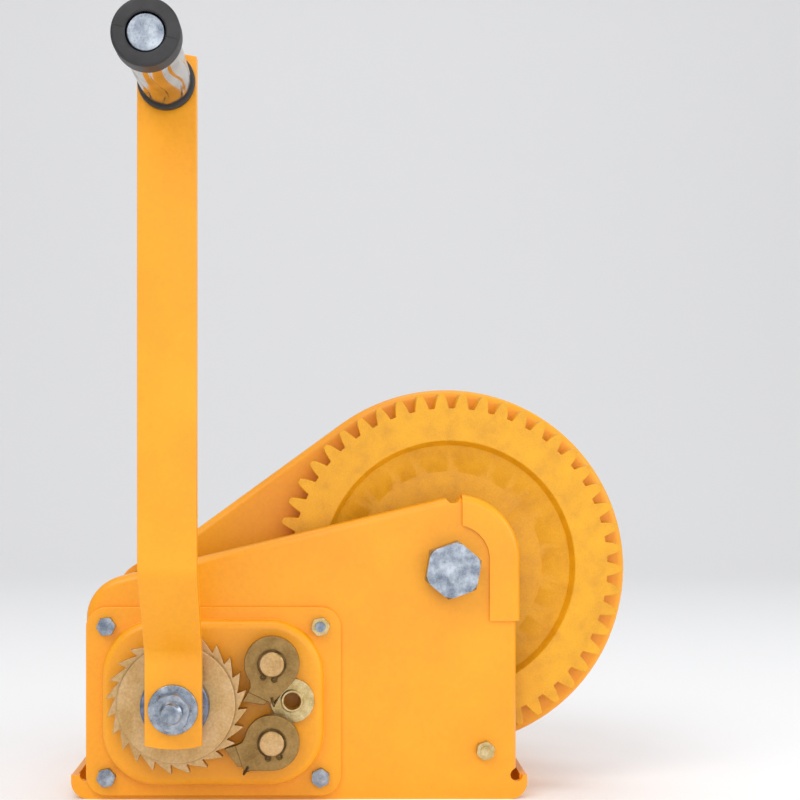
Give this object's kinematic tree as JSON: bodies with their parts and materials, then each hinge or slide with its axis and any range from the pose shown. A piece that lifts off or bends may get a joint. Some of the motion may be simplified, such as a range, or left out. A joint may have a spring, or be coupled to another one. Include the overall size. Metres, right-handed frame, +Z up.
{
  "type": "hand winch",
  "caption": "Hand-cranked brake winch: geared drum in a folded steel frame, load brake with ratchet wheel and sprung pawls, and an offset crank with a turning grip.",
  "frame": {"origin": "centre of the base's underside, at the middle of the mounting hole pattern", "axes": "+Z up, +X to the right seen from the crank side, crank side towards -Y"},
  "size_m": [0.3338, 0.3662, 0.4186],
  "materials": {
    "yellow_paint": "gloss paint",
    "yellow_cast": "paint over a rough casting",
    "blue_zinc": "bright zinc plate",
    "yellow_zinc": "yellow passivated zinc plate",
    "spring_steel": "oiled spring steel",
    "bare_steel": "machined",
    "bronze": "sintered bronze",
    "lining": "woven brake lining",
    "polished_steel": "polished",
    "black_plastic": "moulded"
  },
  "bodies": {
    "frame": {"base_plate": "yellow_paint", "front_plate": "yellow_paint", "rear_plate": "yellow_paint", "corner_guard": "yellow_paint", "gear_side_plate": "yellow_paint", "base_bracket": "yellow_paint", "bracket_bolt": "blue_zinc", "bracket_nut": "blue_zinc", "brake_cover": "yellow_paint", "cover_bolts": "blue_zinc", "cover_nuts": "blue_zinc", "layshaft_cap": "yellow_zinc", "crank_shaft_bushes": "bronze", "layshaft_bushes": "bronze", "upper_pawl_pin": "yellow_zinc", "lower_pawl_pin": "yellow_zinc", "upper_circlip": "spring_steel", "lower_circlip": "spring_steel", "drum_axle_bolt": "blue_zinc", "drum_axle_nut": "blue_zinc", "drum_axle_washer": "blue_zinc", "axle_spacers": "bare_steel"},
    "drum": {"drum_gear": "yellow_cast", "drum_barrel": "yellow_cast", "drum_hubs": "yellow_cast", "drum_bushes": "bronze", "front_drum_flange": "yellow_cast", "rear_drum_flange": "yellow_cast", "rope_clamp": "blue_zinc", "clamp_screws": "blue_zinc"},
    "layshaft": {"layshaft": "bare_steel", "layshaft_gear": "bare_steel", "layshaft_pinion": "bare_steel"},
    "crank": {"crank_shaft": "blue_zinc", "crank_pinion": "bare_steel", "brake_hub": "yellow_zinc", "brake_linings": "lining", "pressure_disc": "yellow_zinc", "threaded_hub": "blue_zinc", "crank_arm": "yellow_paint", "crank_washer": "blue_zinc", "crank_nut": "blue_zinc", "grip_pin": "blue_zinc"},
    "ratchet": {"ratchet_wheel": "yellow_zinc"},
    "upper_pawl": {"upper_pawl": "yellow_zinc", "upper_pawl_spring": "spring_steel"},
    "lower_pawl": {"lower_pawl": "yellow_zinc", "lower_pawl_spring": "spring_steel"},
    "grip": {"grip_core": "black_plastic", "grip_sleeve": "polished_steel", "grip_collar": "black_plastic", "grip_cap": "black_plastic"}
  },
  "joints": [
    {"name": "drum_spin", "type": "hinge", "parent": "frame", "child": "drum", "pos_m": [0.08985, 0, 0.13503], "axis": [0, -1, 0], "continuous": true},
    {"name": "layshaft_spin", "type": "hinge", "parent": "frame", "child": "layshaft", "pos_m": [-0.0038, 0, 0.06], "axis": [0, -1, 0], "continuous": true},
    {"name": "crank_spin", "type": "hinge", "parent": "frame", "child": "crank", "pos_m": [-0.0698, 0, 0.06], "axis": [0, -1, 0], "continuous": true},
    {"name": "ratchet_spin", "type": "hinge", "parent": "frame", "child": "ratchet", "pos_m": [-0.0698, 0, 0.06], "axis": [0, -1, 0], "continuous": true},
    {"name": "upper_pawl_lift", "type": "hinge", "parent": "frame", "child": "upper_pawl", "pos_m": [-0.01529, 0, 0.08258], "axis": [0, -1, 0], "range_deg": [0, 22], "stiffness_Nm_per_rad": 0.05, "springref_deg": -28.65},
    {"name": "lower_pawl_lift", "type": "hinge", "parent": "frame", "child": "lower_pawl", "pos_m": [-0.01529, 0, 0.03742], "axis": [0, -1, 0], "range_deg": [0, 22], "stiffness_Nm_per_rad": 0.05, "springref_deg": -28.65},
    {"name": "grip_spin", "type": "hinge", "parent": "crank", "child": "grip", "pos_m": [-0.0698, 0, 0.402], "axis": [0, -1, 0], "continuous": true}
  ],
  "couplings": [
    {"joint": "layshaft_spin", "follows": "drum_spin", "ratio": -5},
    {"joint": "crank_spin", "follows": "drum_spin", "ratio": 13.333}
  ]
}
